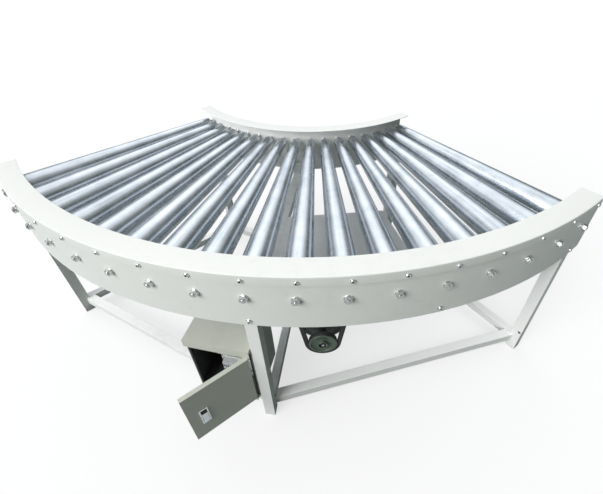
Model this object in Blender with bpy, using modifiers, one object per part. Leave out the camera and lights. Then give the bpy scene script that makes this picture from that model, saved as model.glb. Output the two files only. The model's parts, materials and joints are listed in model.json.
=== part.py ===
"""Powered 90 degree curve of a roller conveyor: tapered steel rollers between two curved rails.

Metres, +Z up.  The curve's centre of turning lies on the +Y side and the wide outer rail faces -Y.
The origin is on the floor, under the middle of the bounding box.
"""

import math

import bmesh
import bpy
from mathutils import Matrix, Vector

# Curve
SWEEP = math.radians(90.0)
ROLLERS = 17
PITCH = SWEEP / ROLLERS
MIDDLE = (ROLLERS + 1) // 2
ROLLER_TOP = 0.694
TAPER = math.radians(1.8)
OUTER_R = 1.400
INNER_R = 0.600

# Rails and their bolted-on covers
SHEET = 0.003
RAIL_BOTTOM = 0.536
RAIL_TOP = 0.7295
COVER_SHEET = 0.002
COVER_TOP = 0.732
COVER_LIP = 0.032
OUTER_COVER_WIDTH = 0.067
INNER_COVER_WIDTH = 0.047
FACETS = 3 * ROLLERS
GAP = 0.0003

# Rollers, measured along their own axis from the tip of the cone
TUBE_START = 0.626
TUBE_END = 1.366
TUBE_WALL = 0.0025
END_CAP = 0.010
HUB_RADIUS = 0.0165
HUB_GROOVE_RADIUS = 0.0100
HUB_GROOVE_WIDTH = 0.0120
HUB_END = 1.3905
AXLE_RADIUS = 0.006
NUT_ACROSS_FLATS = 0.019
NUT_HEIGHT = 0.009
WASHER_RADIUS = 0.012
WASHER_THICKNESS = 0.0025
COLLAR_RADIUS = 0.009
COLLAR_LENGTH = 0.0048

# Legs and the bars between them
LEG_ANGLES = {"left": -8 * PITCH, "centre": 0.0, "right": 8 * PITCH}
LEG_WIDTH = 0.036
LEG_DEPTH = 0.036
LEG_TOP = 0.584
LEG_WALL = 0.003
BAR = 0.034
FOOT_BAR_WIDTH = 0.030
BAR_WALL = 0.003
BAR_BOTTOM = 0.038
TIE_WIDTH = 0.030
TIE_HEIGHT = 0.038
TIE_TOP = 0.534

# Drive
DRIVE_ANGLE = 1.5 * PITCH
DRIVE_HEIGHT = 0.438
BELT_R = 1.381
BELT_WIDTH = 0.0095
BELT_THICKNESS = 0.012
PULLEY_FLANGE = 0.0405
PULLEY_GROOVE = 0.0385
PULLEY_WIDTH = 0.016
SHAFT_RADIUS = 0.012
GEARBOX_RADIUS = 0.070
GEARBOX_FRONT = 1.325
MOTOR_REAR = 0.935
BRACKET_THICKNESS = 0.004
BRACKET_TOP = 0.534
BRACKET_INNER_R = 0.932
BRACKET_OUTER_R = 1.335
BRACKET_END_ANGLE = 4.25 * PITCH
LUG_ANGLE = 4 * PITCH

# Control cabinet beside the centre leg
CABINET_TURN = math.radians(-5.5)
CABINET_CORNER = (-0.022, 1.3925)
CABINET_SIZE = Vector((0.212, 0.163, 0.286))
CABINET_BOTTOM = 0.118
CABINET_SHEET = 0.002
PLATE_DEPTH = 0.058
HOOD_REACH = 0.012
HOOD_DROP = 0.031
DOOR_SIZE = Vector((0.2075, 0.014, 0.237))
DOOR_BOTTOM = 0.1355
DOOR_INSET = 0.004
DOOR_SHEET = 0.002
DOOR_OPEN = math.radians(49.2)
LATCH_SIZE = Vector((0.017, 0.004, 0.046))
LATCH_FROM_EDGE = 0.0455
LATCH_HEIGHT = 0.233

# The box around the object runs from the door's free corner to the inner cover's end corners.
DOOR_HEADING = DOOR_OPEN + CABINET_TURN
HINGE_REACH = (
    CABINET_CORNER[1] + DOOR_INSET * math.sin(CABINET_TURN)
    + (DOOR_SIZE.y + GAP) * math.cos(CABINET_TURN)
)
FRONT_REACH = HINGE_REACH + DOOR_SIZE.x * math.sin(DOOR_HEADING)
BACK_REACH = (INNER_R - SHEET - GAP - COVER_SHEET) * math.cos(SWEEP / 2)
CENTRE = Vector((0.0, (FRONT_REACH + BACK_REACH) / 2, 0.0))

PAINT = ("frame_paint", (0.78, 0.79, 0.76), 0.0, 0.45)
ZINC = ("zinc_steel", (0.62, 0.64, 0.68), 1.0, 0.30)
FASTENER = ("fastener_zinc", (0.70, 0.70, 0.68), 1.0, 0.35)
CABINET_PAINT = ("cabinet_grey", (0.62, 0.61, 0.54), 0.0, 0.5)
DARK_GREEN = ("drive_green", (0.03, 0.06, 0.04), 0.2, 0.45)
RUBBER = ("belt_rubber", (0.012, 0.012, 0.012), 0.0, 0.7)
CHROME = ("latch_chrome", (0.80, 0.80, 0.80), 1.0, 0.15)
PLASTIC = ("relay_plastic", (0.70, 0.70, 0.66), 0.0, 0.5)


def clear_scene():
    for obj in list(bpy.data.objects):
        bpy.data.objects.remove(obj, do_unlink=True)


def collection(name):
    found = bpy.data.collections.new(name)
    bpy.context.scene.collection.children.link(found)
    return found


def material(spec):
    name, colour, metallic, roughness = spec
    found = bpy.data.materials.get(name)
    if found:
        return found
    made = bpy.data.materials.new(name)
    made.use_nodes = True
    shader = made.node_tree.nodes["Principled BSDF"]
    shader.inputs["Base Color"].default_value = (*colour, 1.0)
    shader.inputs["Metallic"].default_value = metallic
    shader.inputs["Roughness"].default_value = roughness
    return made


def add_object(name, mesh, paint, matrix=None):
    """Links one named piece, placed by a world matrix."""
    obj = bpy.data.objects.new(name, mesh)
    if not mesh.materials:
        mesh.materials.append(material(paint))
    PARTS.objects.link(obj)
    if matrix is not None:
        obj.matrix_world = matrix
    return obj


def mesh_from(name, bm):
    bmesh.ops.recalc_face_normals(bm, faces=bm.faces[:])
    mesh = bpy.data.meshes.new(name)
    bm.to_mesh(mesh)
    bm.free()
    return mesh


def radial(angle, radius=0.0, height=0.0):
    """A frame at this angle of the curve: local X points outward, Y along the travel, Z up."""
    turn = Matrix.Rotation(angle - math.pi / 2, 4, "Z")
    return Matrix.Translation(CENTRE) @ turn @ Matrix.Translation((radius, 0.0, height))


def add_box(bm, low, high):
    """A box between two corners, in the mesh's own frame."""
    size = [b - a for a, b in zip(low, high)]
    middle = [(a + b) / 2 for a, b in zip(low, high)]
    matrix = Matrix.Translation(middle) @ Matrix.Diagonal((*size, 1.0))
    return bmesh.ops.create_cube(bm, size=1.0, matrix=matrix)["verts"]


def add_cylinder(bm, start, end, radius, sides, turn=0.0):
    """A cylinder, or a prism of few sides, between two points."""
    start = Vector(start)
    end = Vector(end)
    along = end - start
    matrix = (
        Matrix.Translation((start + end) / 2)
        @ along.to_track_quat("Z", "Y").to_matrix().to_4x4()
        @ Matrix.Rotation(turn, 4, "Z")
    )
    bmesh.ops.create_cone(
        bm, cap_ends=True, segments=sides, radius1=radius, radius2=radius,
        depth=along.length, matrix=matrix,
    )


def cutter(name, build, matrix=None):
    """A hidden solid that other pieces are cut or joined with."""
    bm = bmesh.new()
    build(bm)
    obj = bpy.data.objects.new(name, mesh_from(name, bm))
    CUTTERS.objects.link(obj)
    obj.hide_render = True
    obj.display_type = "WIRE"
    if matrix is not None:
        obj.matrix_world = matrix
    return obj


def boolean(obj, other, operation):
    modifier = obj.modifiers.new(other.name, "BOOLEAN")
    modifier.operation = operation
    modifier.object = other
    return modifier


def union_mesh(name, builders):
    """One closed mesh made of several primitives that overlap."""
    bm = bmesh.new()
    builders[0](bm)
    base = bpy.data.objects.new(name + "_base", mesh_from(name, bm))
    CUTTERS.objects.link(base)
    helpers = [base]
    for number, build in enumerate(builders[1:]):
        helper = cutter(f"{name}_{number}", build)
        boolean(base, helper, "UNION")
        helpers.append(helper)
    graph = bpy.context.evaluated_depsgraph_get()
    mesh = bpy.data.meshes.new_from_object(base.evaluated_get(graph))
    for helper in helpers:
        bpy.data.objects.remove(helper, do_unlink=True)
    mesh.name = name
    return mesh


def solidify(obj, thickness, offset):
    modifier = obj.modifiers.new("wall", "SOLIDIFY")
    modifier.thickness = thickness
    modifier.offset = offset
    modifier.use_even_offset = True
    return modifier


def screw(obj, steps):
    modifier = obj.modifiers.new("turn", "SCREW")
    modifier.steps = steps
    modifier.render_steps = steps
    modifier.use_smooth_shade = True
    modifier.use_merge_vertices = True
    modifier.merge_threshold = 0.00005
    return modifier


def profile_mesh(name, points, closed):
    """A turned piece's outline in the XZ plane, running down its outer side."""
    mesh = bpy.data.meshes.new(name)
    edges = [(i, i + 1) for i in range(len(points) - 1)]
    if closed:
        edges.append((len(points) - 1, 0))
    mesh.from_pydata([(x, 0.0, z) for x, z in points], edges, [])
    return mesh


def axis_height(radius):
    """Height of a roller's axis, which drops outward so that the roller's top stays level."""
    return ROLLER_TOP - radius * math.tan(TAPER)


def facet_r(radius):
    """Distance to the flat facet whose corners lie on this radius."""
    return radius * math.cos(SWEEP / FACETS / 2)


def arc_band(name, section, paint):
    """A curved piece: one closed section, given as (radius, height) points, swept along the arc."""
    bm = bmesh.new()
    rings = []
    for step in range(FACETS + 1):
        angle = -SWEEP / 2 + SWEEP * step / FACETS
        frame = Matrix.Rotation(angle - math.pi / 2, 4, "Z")
        rings.append([bm.verts.new(frame @ Vector((r, 0.0, z))) for r, z in section])
    count = len(section)
    for first, second in zip(rings, rings[1:]):
        for i in range(count):
            j = (i + 1) % count
            bm.faces.new((first[i], first[j], second[j], second[i]))
    bm.faces.new(rings[0])
    bm.faces.new(rings[-1])
    return add_object(name, mesh_from(name, bm), paint, Matrix.Translation(CENTRE))


def rail_section(low_r, high_r):
    return [(low_r, RAIL_BOTTOM), (high_r, RAIL_BOTTOM), (high_r, RAIL_TOP), (low_r, RAIL_TOP)]


def cover_section(lip_face, away, width):
    """A strip folded over a rail: the lip hangs outside the rail and the flange covers the roller ends."""
    lip_back = lip_face - away * COVER_SHEET
    edge = lip_face - away * width
    under = COVER_TOP - COVER_SHEET
    return [
        (lip_face, COVER_TOP), (edge, COVER_TOP), (edge, under),
        (lip_back, under), (lip_back, COVER_TOP - COVER_LIP), (lip_face, COVER_TOP - COVER_LIP),
    ]


def make_rails():
    outer = arc_band("outer_rail", rail_section(OUTER_R - SHEET, OUTER_R), PAINT)
    inner = arc_band("inner_rail", rail_section(INNER_R - SHEET, INNER_R), PAINT)
    hole = AXLE_RADIUS + GAP
    for number in range(1, ROLLERS + 1):
        frame = radial((number - MIDDLE) * PITCH)
        for rail, radius in ((outer, OUTER_R), (inner, INNER_R)):
            start = (radius - 0.01, 0.0, axis_height(radius - 0.01))
            end = (radius + 0.01, 0.0, axis_height(radius + 0.01))
            bore = cutter(
                f"{rail.name}_bore_{number:02d}",
                lambda bm, a=start, b=end: add_cylinder(bm, a, b, hole, 12),
                frame,
            )
            boolean(rail, bore, "DIFFERENCE")
    lip_gap = GAP + COVER_SHEET
    arc_band("outer_cover", cover_section(OUTER_R + lip_gap, 1, OUTER_COVER_WIDTH), PAINT)
    inner_lip = INNER_R - SHEET - lip_gap
    arc_band("inner_cover", cover_section(inner_lip, -1, INNER_COVER_WIDTH), PAINT)


def roller_profile(middle):
    """Tube with pressed-in end caps and a grooved hub at its wide end, bored for the axle."""
    bore = AXLE_RADIUS + GAP
    groove_middle = BELT_R / math.cos(PITCH / 2) / math.cos(TAPER) - middle
    groove_top = groove_middle + HUB_GROOVE_WIDTH / 2
    groove_bottom = groove_middle - HUB_GROOVE_WIDTH / 2
    wide = TUBE_END * math.tan(TAPER)
    narrow = TUBE_START * math.tan(TAPER)
    top = HUB_END - middle
    shoulder = TUBE_END - middle
    bottom = TUBE_START - middle
    return [
        (bore, top), (HUB_RADIUS, top), (HUB_RADIUS, groove_top), (HUB_GROOVE_RADIUS, groove_top),
        (HUB_GROOVE_RADIUS, groove_bottom), (HUB_RADIUS, groove_bottom),
        (HUB_RADIUS, shoulder), (wide, shoulder),
        (narrow, bottom), (bore, bottom), (bore, bottom + END_CAP),
        (narrow - TUBE_WALL, bottom + END_CAP), (wide - TUBE_WALL, shoulder - END_CAP),
        (bore, shoulder - END_CAP),
    ]


def make_rollers():
    middle = (TUBE_START + TUBE_END) / 2
    outline = profile_mesh("roller_outline", roller_profile(middle), closed=True)
    tip_to_middle = Matrix.Translation((0.0, 0.0, middle))
    lay_down = Matrix.Rotation(math.pi / 2 + TAPER, 4, "Y")
    for number in range(1, ROLLERS + 1):
        frame = radial((number - MIDDLE) * PITCH, height=ROLLER_TOP)
        obj = add_object(f"roller_{number:02d}", outline, ZINC, frame @ lay_down @ tip_to_middle)
        screw(obj, 16)


def axle_builders():
    """Shaft, a washer and hex nut outside each rail, and a collar inside each rail."""
    nut_radius = NUT_ACROSS_FLATS / math.sqrt(3)
    outer_face = facet_r(OUTER_R) + GAP
    inner_face = facet_r(INNER_R - SHEET) - GAP
    ends = ((outer_face, 1), (inner_face, -1))
    reach = WASHER_THICKNESS + NUT_HEIGHT + 0.002
    low = inner_face - reach
    high = outer_face + reach

    def rod(start, end, radius, sides):
        height = axis_height((start + end) / 2)
        return lambda bm: add_cylinder(bm, (start, 0, height), (end, 0, height), radius, sides)

    builders = [
        lambda bm: add_cylinder(
            bm, (low, 0, axis_height(low)), (high, 0, axis_height(high)), AXLE_RADIUS, 12)
    ]
    for face, away in ends:
        nut_start = face + away * WASHER_THICKNESS * 0.9
        builders.append(rod(face, face + away * WASHER_THICKNESS, WASHER_RADIUS, 16))
        builders.append(rod(nut_start, nut_start + away * NUT_HEIGHT, nut_radius, 6))
    outer_back = facet_r(OUTER_R - SHEET) - GAP
    inner_back = facet_r(INNER_R) + GAP + 0.0002
    builders.append(rod(outer_back - COLLAR_LENGTH, outer_back, COLLAR_RADIUS, 12))
    builders.append(rod(inner_back, inner_back + COLLAR_LENGTH, COLLAR_RADIUS, 12))
    return builders


def make_axles():
    mesh = union_mesh("axle", axle_builders())
    for number in range(1, ROLLERS + 1):
        add_object(f"axle_{number:02d}", mesh, FASTENER, radial((number - MIDDLE) * PITCH))


def leg_mesh():
    """Upright box section, open at its top, closed by a foot plate."""
    bm = bmesh.new()
    half = LEG_WIDTH / 2
    add_box(bm, (-LEG_DEPTH / 2, -half, 0.0), (LEG_DEPTH / 2, half, LEG_TOP))
    top = [face for face in bm.faces if face.calc_center_median().z > LEG_TOP - 0.001]
    bmesh.ops.delete(bm, geom=top, context="FACES_ONLY")
    return mesh_from("leg", bm)


def leg_centre_r(side):
    if side == "outer":
        return facet_r(OUTER_R - SHEET) - GAP - LEG_DEPTH / 2
    return facet_r(INNER_R) + GAP + LEG_DEPTH / 2


def make_legs():
    mesh = leg_mesh()
    for side in ("outer", "inner"):
        for name, angle in LEG_ANGLES.items():
            leg = add_object(f"leg_{side}_{name}", mesh, PAINT, radial(angle, leg_centre_r(side)))
            solidify(leg, LEG_WALL, -1.0)


def tube_mesh(name, length, width, height, wall):
    """Square tube along local X, open at both ends, its underside at Z 0."""
    bm = bmesh.new()
    half = width / 2
    add_box(bm, (-length / 2, -half, 0.0), (length / 2, half, height))
    ends = [face for face in bm.faces if abs(face.normal.x) > 0.5]
    bmesh.ops.delete(bm, geom=ends, context="FACES_ONLY")
    return mesh_from(name, bm)


def make_radial_bars():
    start = leg_centre_r("inner") + LEG_DEPTH / 2 + GAP
    end = leg_centre_r("outer") - LEG_DEPTH / 2 - GAP
    middle = (start + end) / 2
    foot = tube_mesh("foot_bar", end - start, FOOT_BAR_WIDTH, BAR, BAR_WALL)
    for name, angle in LEG_ANGLES.items():
        obj = add_object(f"foot_bar_{name}", foot, PAINT, radial(angle, middle, BAR_BOTTOM))
        solidify(obj, BAR_WALL, -1.0)
    tie = tube_mesh("tie", end - start, TIE_WIDTH, TIE_HEIGHT, BAR_WALL)
    obj = add_object("cross_tie", tie, PAINT, radial(0.0, middle, TIE_TOP - TIE_HEIGHT))
    solidify(obj, BAR_WALL, -1.0)


def make_chord_bars():
    """Straight bars between neighbouring legs, their ends cut to the legs' side faces.

    The outer pair is set back, so that its front face meets the legs half way along their sides.
    """
    reach = 0.4
    for side, set_back in (("outer", BAR / 2), ("inner", 0.0)):
        centre_r = leg_centre_r(side)
        half_angle = LEG_ANGLES["right"] / 2
        middle_r = centre_r * math.cos(half_angle) - set_back
        length = 2 * centre_r * math.sin(half_angle) + BAR
        mesh = tube_mesh(f"chord_bar_{side}", length, BAR, BAR, BAR_WALL)
        for name, sign in (("left", -1), ("right", 1)):
            matrix = radial(sign * half_angle, middle_r, BAR_BOTTOM) @ Matrix.Rotation(
                math.pi / 2, 4, "Z")
            bar = add_object(f"chord_bar_{side}_{name}", mesh, PAINT, matrix)
            solidify(bar, BAR_WALL, -1.0)
            face = LEG_WIDTH / 2 + GAP
            for end_name, angle, away in (("centre", 0.0, -sign), (name, sign * 2 * half_angle, sign)):
                low, high = sorted((-away * face, away * reach))
                box = ((-reach, low, -reach), (reach, high, reach))
                block = cutter(
                    f"{bar.name}_{end_name}_end",
                    lambda bm, b=box: add_box(bm, *b),
                    radial(angle, centre_r),
                )
                boolean(bar, block, "DIFFERENCE")


def make_motor_bracket():
    """Plate welded to the cross tie, with a lug bolted to the outer rail."""
    under = BRACKET_TOP - BRACKET_THICKNESS
    tie_face = TIE_WIDTH / 2 + GAP
    corners = [
        (tie_face, -BRACKET_INNER_R), (tie_face, -BRACKET_OUTER_R),
        (BRACKET_OUTER_R * math.sin(BRACKET_END_ANGLE), -BRACKET_OUTER_R * math.cos(BRACKET_END_ANGLE)),
        (BRACKET_INNER_R * math.sin(BRACKET_END_ANGLE), -BRACKET_INNER_R * math.cos(BRACKET_END_ANGLE)),
    ]

    def plate(bm):
        low = [bm.verts.new((x, y, under)) for x, y in corners]
        face = bm.faces.new(low)
        lifted = bmesh.ops.extrude_face_region(bm, geom=[face])["geom"]
        moved = [item for item in lifted if isinstance(item, bmesh.types.BMVert)]
        bmesh.ops.translate(bm, verts=moved, vec=(0.0, 0.0, BRACKET_THICKNESS))

    lug_turn = Matrix.Rotation(LUG_ANGLE - math.pi / 2, 4, "Z")
    rail_face = facet_r(OUTER_R - SHEET) - GAP

    def arm(bm):
        verts = add_box(
            bm, (BRACKET_OUTER_R - 0.02, -0.018, under), (rail_face, 0.018, BRACKET_TOP))
        bmesh.ops.transform(bm, matrix=lug_turn, verts=verts)

    def upstand(bm):
        verts = add_box(
            bm, (rail_face - BRACKET_THICKNESS, -0.018, under), (rail_face, 0.018, LEG_TOP - 0.01))
        bmesh.ops.transform(bm, matrix=lug_turn, verts=verts)

    mesh = union_mesh("motor_bracket", [plate, arm, upstand])
    add_object("motor_bracket", mesh, PAINT, Matrix.Translation(CENTRE))


def make_gearmotor():
    """In-line gearbox and motor hung from the bracket, its output shaft pointing outward."""
    profile = [
        (0.0, GEARBOX_FRONT + 0.014), (0.030, GEARBOX_FRONT + 0.014), (0.030, GEARBOX_FRONT),
        (GEARBOX_RADIUS - 0.006, GEARBOX_FRONT), (GEARBOX_RADIUS, GEARBOX_FRONT - 0.008),
        (GEARBOX_RADIUS, 1.215), (0.054, 1.205), (0.054, 1.010),
        (0.058, 1.005), (0.058, MOTOR_REAR + 0.010), (0.046, MOTOR_REAR), (0.0, MOTOR_REAR),
    ]
    turned = bpy.data.objects.new("gearmotor_turned", profile_mesh("gearmotor_outline", profile, False))
    CUTTERS.objects.link(turned)
    turned.hide_render = True
    turned.display_type = "WIRE"
    screw(turned, 24)
    frame = radial(DRIVE_ANGLE, height=DRIVE_HEIGHT)
    turned.matrix_world = frame @ Matrix.Rotation(math.pi / 2, 4, "Y")
    hang = BRACKET_TOP - BRACKET_THICKNESS - GAP - DRIVE_HEIGHT

    def foot(bm):
        add_box(bm, (1.215, -0.050, 0.035), (1.315, 0.050, hang))

    def terminal_box(bm):
        add_box(bm, (1.050, 0.045, -0.030), (1.140, 0.092, 0.042))

    bm = bmesh.new()
    foot(bm)
    motor = add_object("gearmotor", mesh_from("gearmotor", bm), DARK_GREEN, frame)
    boolean(motor, turned, "UNION")
    boolean(motor, cutter("gearmotor_terminal_box", terminal_box, frame), "UNION")


def make_pulley():
    """Grooved pulley with its shaft, turning in front of the gearbox."""
    half = PULLEY_WIDTH / 2
    groove = BELT_WIDTH / 2 + 0.0008
    back = GEARBOX_FRONT + 0.014 + 0.0005 - BELT_R
    profile = [
        (0.0, half + 0.004), (SHAFT_RADIUS, half + 0.004), (SHAFT_RADIUS, half),
        (PULLEY_FLANGE, half), (PULLEY_FLANGE, groove), (PULLEY_GROOVE, groove),
        (PULLEY_GROOVE, -groove), (PULLEY_FLANGE, -groove), (PULLEY_FLANGE, -half),
        (SHAFT_RADIUS, -half), (SHAFT_RADIUS, back), (0.0, back),
    ]
    matrix = radial(DRIVE_ANGLE, BELT_R, DRIVE_HEIGHT) @ Matrix.Rotation(math.pi / 2, 4, "Y")
    obj = add_object("drive_pulley", profile_mesh("pulley_outline", profile, False), DARK_GREEN, matrix)
    screw(obj, 24)


def belt_path():
    """Points of a loop round three circles, as (sideways, height) about the pulley's centre."""
    sideways = BELT_R * math.sin(PITCH / 2)
    rise = axis_height(BELT_R) - DRIVE_HEIGHT
    hub = HUB_GROOVE_RADIUS + 0.0004
    circles = [
        (Vector((0.0, 0.0)), PULLEY_GROOVE + 0.0004),
        (Vector((sideways, rise)), hub),
        (Vector((-sideways, rise)), hub),
    ]
    headings = []
    for (centre, radius), (after, after_radius) in zip(circles, circles[1:] + circles[:1]):
        line = after - centre
        lean = math.acos((radius - after_radius) / line.length)
        headings.append(math.atan2(line.y, line.x) - lean)
    points = []
    steps = 10
    for index, (centre, radius) in enumerate(circles):
        start = headings[index - 1]
        span = (headings[index] - start) % (2 * math.pi)
        corner = radius / math.cos(span / steps / 2)
        for step in range(steps + 1):
            angle = start + span * step / steps
            points.append(centre + corner * Vector((math.cos(angle), math.sin(angle))))
    return points


def make_belt():
    bm = bmesh.new()
    half = BELT_WIDTH / 2
    rows = []
    for point in belt_path():
        rows.append([bm.verts.new((x, point.x, point.y)) for x in (-half, half)])
    for first, second in zip(rows, rows[1:] + rows[:1]):
        bm.faces.new((first[0], second[0], second[1], first[1]))
    mesh = mesh_from("drive_belt", bm)
    belt = add_object("drive_belt", mesh, RUBBER, radial(DRIVE_ANGLE, BELT_R, DRIVE_HEIGHT))
    outward = sum((face.normal.dot(Vector((0, *face.center.yz))) for face in mesh.polygons)) > 0
    solidify(belt, BELT_THICKNESS, 1.0 if outward else -1.0)


def cabinet_frame():
    """Local X along the front to the right, Y into the cabinet, origin at the front's right edge."""
    corner = CENTRE + Vector((CABINET_CORNER[0], -CABINET_CORNER[1], 0.0))
    return Matrix.Translation(corner) @ Matrix.Rotation(CABINET_TURN, 4, "Z")


def make_cabinet():
    width, depth, height = CABINET_SIZE
    bm = bmesh.new()
    add_box(bm, (-width, 0.0, CABINET_BOTTOM), (0.0, depth, CABINET_BOTTOM + height))
    front = [face for face in bm.faces if face.calc_center_median().y < 0.001]
    bmesh.ops.delete(bm, geom=front, context="FACES_ONLY")
    box = add_object("cabinet_box", mesh_from("cabinet_box", bm), CABINET_PAINT, cabinet_frame())
    solidify(box, CABINET_SHEET, -1.0)

    top = CABINET_BOTTOM + height

    def hood_top(bm):
        add_box(bm, (-width, -HOOD_REACH, top - CABINET_SHEET), (0.0, CABINET_SHEET, top))

    def hood_front(bm):
        add_box(bm, (-width, -HOOD_REACH, top - HOOD_DROP), (0.0, CABINET_SHEET - HOOD_REACH, top))

    boolean(box, cutter("cabinet_hood_top", hood_top, cabinet_frame()), "UNION")
    boolean(box, cutter("cabinet_hood_front", hood_front, cabinet_frame()), "UNION")

    back = depth - CABINET_SHEET - GAP
    floor = CABINET_BOTTOM + CABINET_SHEET

    def plate(bm):
        add_box(bm, (-0.148, PLATE_DEPTH, floor + 0.012), (-0.010, PLATE_DEPTH + 0.003, floor + 0.262))

    def contactor(bm):
        add_box(bm, (-0.105, 0.020, floor + 0.172), (-0.035, PLATE_DEPTH + 0.001, floor + 0.252))

    def terminals(bm):
        add_box(bm, (-0.138, 0.032, floor + 0.060), (-0.020, PLATE_DEPTH + 0.001, floor + 0.100))

    def standoffs(bm):
        for x in (-0.138, -0.030):
            for z in (floor + 0.030, floor + 0.232):
                add_box(bm, (x, PLATE_DEPTH + 0.002, z), (x + 0.010, back, z + 0.010))

    mesh = union_mesh("mounting_plate", [plate, contactor, terminals, standoffs])
    add_object("mounting_plate", mesh, PLASTIC, cabinet_frame())


def door_frame():
    """On the hinge line, at the door's outer edge: local X towards the hinge, Y through the door."""
    pivot = Matrix.Translation((-DOOR_INSET, -DOOR_SIZE.y - GAP, 0.0))
    return cabinet_frame() @ pivot @ Matrix.Rotation(DOOR_OPEN, 4, "Z")


def make_door():
    width, thickness, height = DOOR_SIZE
    hinge = door_frame()
    bm = bmesh.new()
    add_box(bm, (-width, 0.0, DOOR_BOTTOM), (0.0, thickness, DOOR_BOTTOM + height))
    back = [face for face in bm.faces if face.calc_center_median().y > thickness - 0.001]
    bmesh.ops.delete(bm, geom=back, context="FACES_ONLY")
    door = add_object("cabinet_door", mesh_from("cabinet_door", bm), CABINET_PAINT, hinge)
    solidify(door, DOOR_SHEET, -1.0)

    size = LATCH_SIZE
    pivot = hinge @ Matrix.Translation(
        (-width + LATCH_FROM_EDGE, -GAP, LATCH_HEIGHT - size.z / 2))
    bm = bmesh.new()
    add_box(bm, (-size.x / 2, -size.y, 0.0), (size.x / 2, 0.0, size.z))
    add_object("door_latch", mesh_from("door_latch", bm), CHROME, pivot)


def shade_round_pieces():
    for obj in PARTS.objects:
        obj.data.shade_smooth()
        if obj.data.polygons:
            obj.data.set_sharp_from_angle(angle=math.radians(35))


clear_scene()
PARTS = collection("roller_conveyor_curve")
CUTTERS = collection("cutters")
make_rails()
make_rollers()
make_axles()
make_legs()
make_radial_bars()
make_chord_bars()
make_motor_bracket()
make_gearmotor()
make_pulley()
make_belt()
make_cabinet()
make_door()
shade_round_pieces()
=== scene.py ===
"""Visual model of a powered 90 degree roller curve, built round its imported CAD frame.  Metres, +Z up."""

import json
from math import acos, asin, atan2, cos, hypot, pi, radians, sin, tan

import bmesh
import bpy
from mathutils import Matrix, Vector


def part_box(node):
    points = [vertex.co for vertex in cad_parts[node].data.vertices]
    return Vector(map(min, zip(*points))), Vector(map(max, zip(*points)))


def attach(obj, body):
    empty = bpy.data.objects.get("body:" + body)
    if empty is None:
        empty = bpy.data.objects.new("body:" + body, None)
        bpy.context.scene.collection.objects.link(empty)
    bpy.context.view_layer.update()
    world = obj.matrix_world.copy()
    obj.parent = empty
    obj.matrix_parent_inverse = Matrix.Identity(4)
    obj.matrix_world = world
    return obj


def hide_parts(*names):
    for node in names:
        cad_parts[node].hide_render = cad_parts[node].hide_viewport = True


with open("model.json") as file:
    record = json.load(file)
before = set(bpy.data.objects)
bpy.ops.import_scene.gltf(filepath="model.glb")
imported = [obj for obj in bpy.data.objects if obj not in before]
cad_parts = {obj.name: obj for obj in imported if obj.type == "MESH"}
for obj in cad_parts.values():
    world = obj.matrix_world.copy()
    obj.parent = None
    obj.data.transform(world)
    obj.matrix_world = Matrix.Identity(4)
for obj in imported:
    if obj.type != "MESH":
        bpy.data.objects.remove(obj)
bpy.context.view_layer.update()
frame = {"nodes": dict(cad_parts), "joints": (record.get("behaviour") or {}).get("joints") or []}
NODES = frame["nodes"]
JOINTS = {joint["name"]: joint for joint in frame["joints"]}

# The curve, read from the rollers' joints
SPINS = [JOINTS[name] for name in sorted(JOINTS) if name.startswith("roller_")]


def heading(joint):
    """Angle round the curve that a roller's or pulley's axis points along."""
    return atan2(joint["axis"][0], -joint["axis"][1])


ANGLES = [heading(joint) for joint in SPINS]
PITCH = (ANGLES[-1] - ANGLES[0]) / (len(ANGLES) - 1)
HALF_SWEEP = PITCH * len(ANGLES) / 2
TAPER = asin(-SPINS[0]["axis"][2])
MIDDLE_R = SPINS[0]["pos_m"][0] / sin(ANGLES[0])
CENTRE_Y = SPINS[0]["pos_m"][1] + MIDDLE_R * cos(ANGLES[0])
ROLLER_TOP = SPINS[0]["pos_m"][2] + MIDDLE_R * tan(TAPER)


def moved(x, y, z):
    return Matrix.Translation((x, y, z))


def turned(degrees, axis):
    return Matrix.Rotation(radians(degrees), 4, axis)


def radial(angle, radius=0.0, height=0.0):
    """A frame at this angle of the curve: local X outward, Y along the travel, Z up."""
    turn = Matrix.Rotation(angle - pi / 2, 4, "Z")
    return moved(0, CENTRE_Y, 0) @ turn @ moved(radius, 0, height)


def axis_height(radius):
    """Height of a tilted roller's axis at this radius."""
    return ROLLER_TOP - radius * tan(TAPER)


def local_points(node, matrix):
    inverse = matrix.inverted()
    return [inverse @ vertex.co for vertex in NODES[node].data.vertices]


def local_box(node, matrix):
    columns = list(zip(*local_points(node, matrix)))
    return Vector([min(column) for column in columns]), Vector([max(column) for column in columns])


# -------- materials

def add_node(nodes, kind, **constants):
    """A shader node with constants set on its sockets; an underscore stands for a space."""
    node = nodes.new("ShaderNode" + kind)
    for socket, value in constants.items():
        node.inputs[socket.replace("_", " ")].default_value = value
    return node


def shader_base(name):
    """A new material with its node lists, its shader and its object coordinates."""
    mat = bpy.data.materials.new(name)
    mat.use_nodes = True
    nodes = mat.node_tree.nodes
    coords = nodes.new("ShaderNodeTexCoord").outputs["Object"]
    return mat, nodes, mat.node_tree.links, nodes["Principled BSDF"], coords


def add_noise(nodes, links, coords, scale, detail=4.0, rough=0.5, stretch=None):
    noise = add_node(nodes, "TexNoise", Scale=scale, Detail=detail, Roughness=rough)
    if stretch:
        mapping = add_node(nodes, "Mapping", Scale=stretch)
        links.new(coords, mapping.inputs["Vector"])
        coords = mapping.outputs["Vector"]
    links.new(coords, noise.inputs["Vector"])
    return noise.outputs["Fac"]


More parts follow.
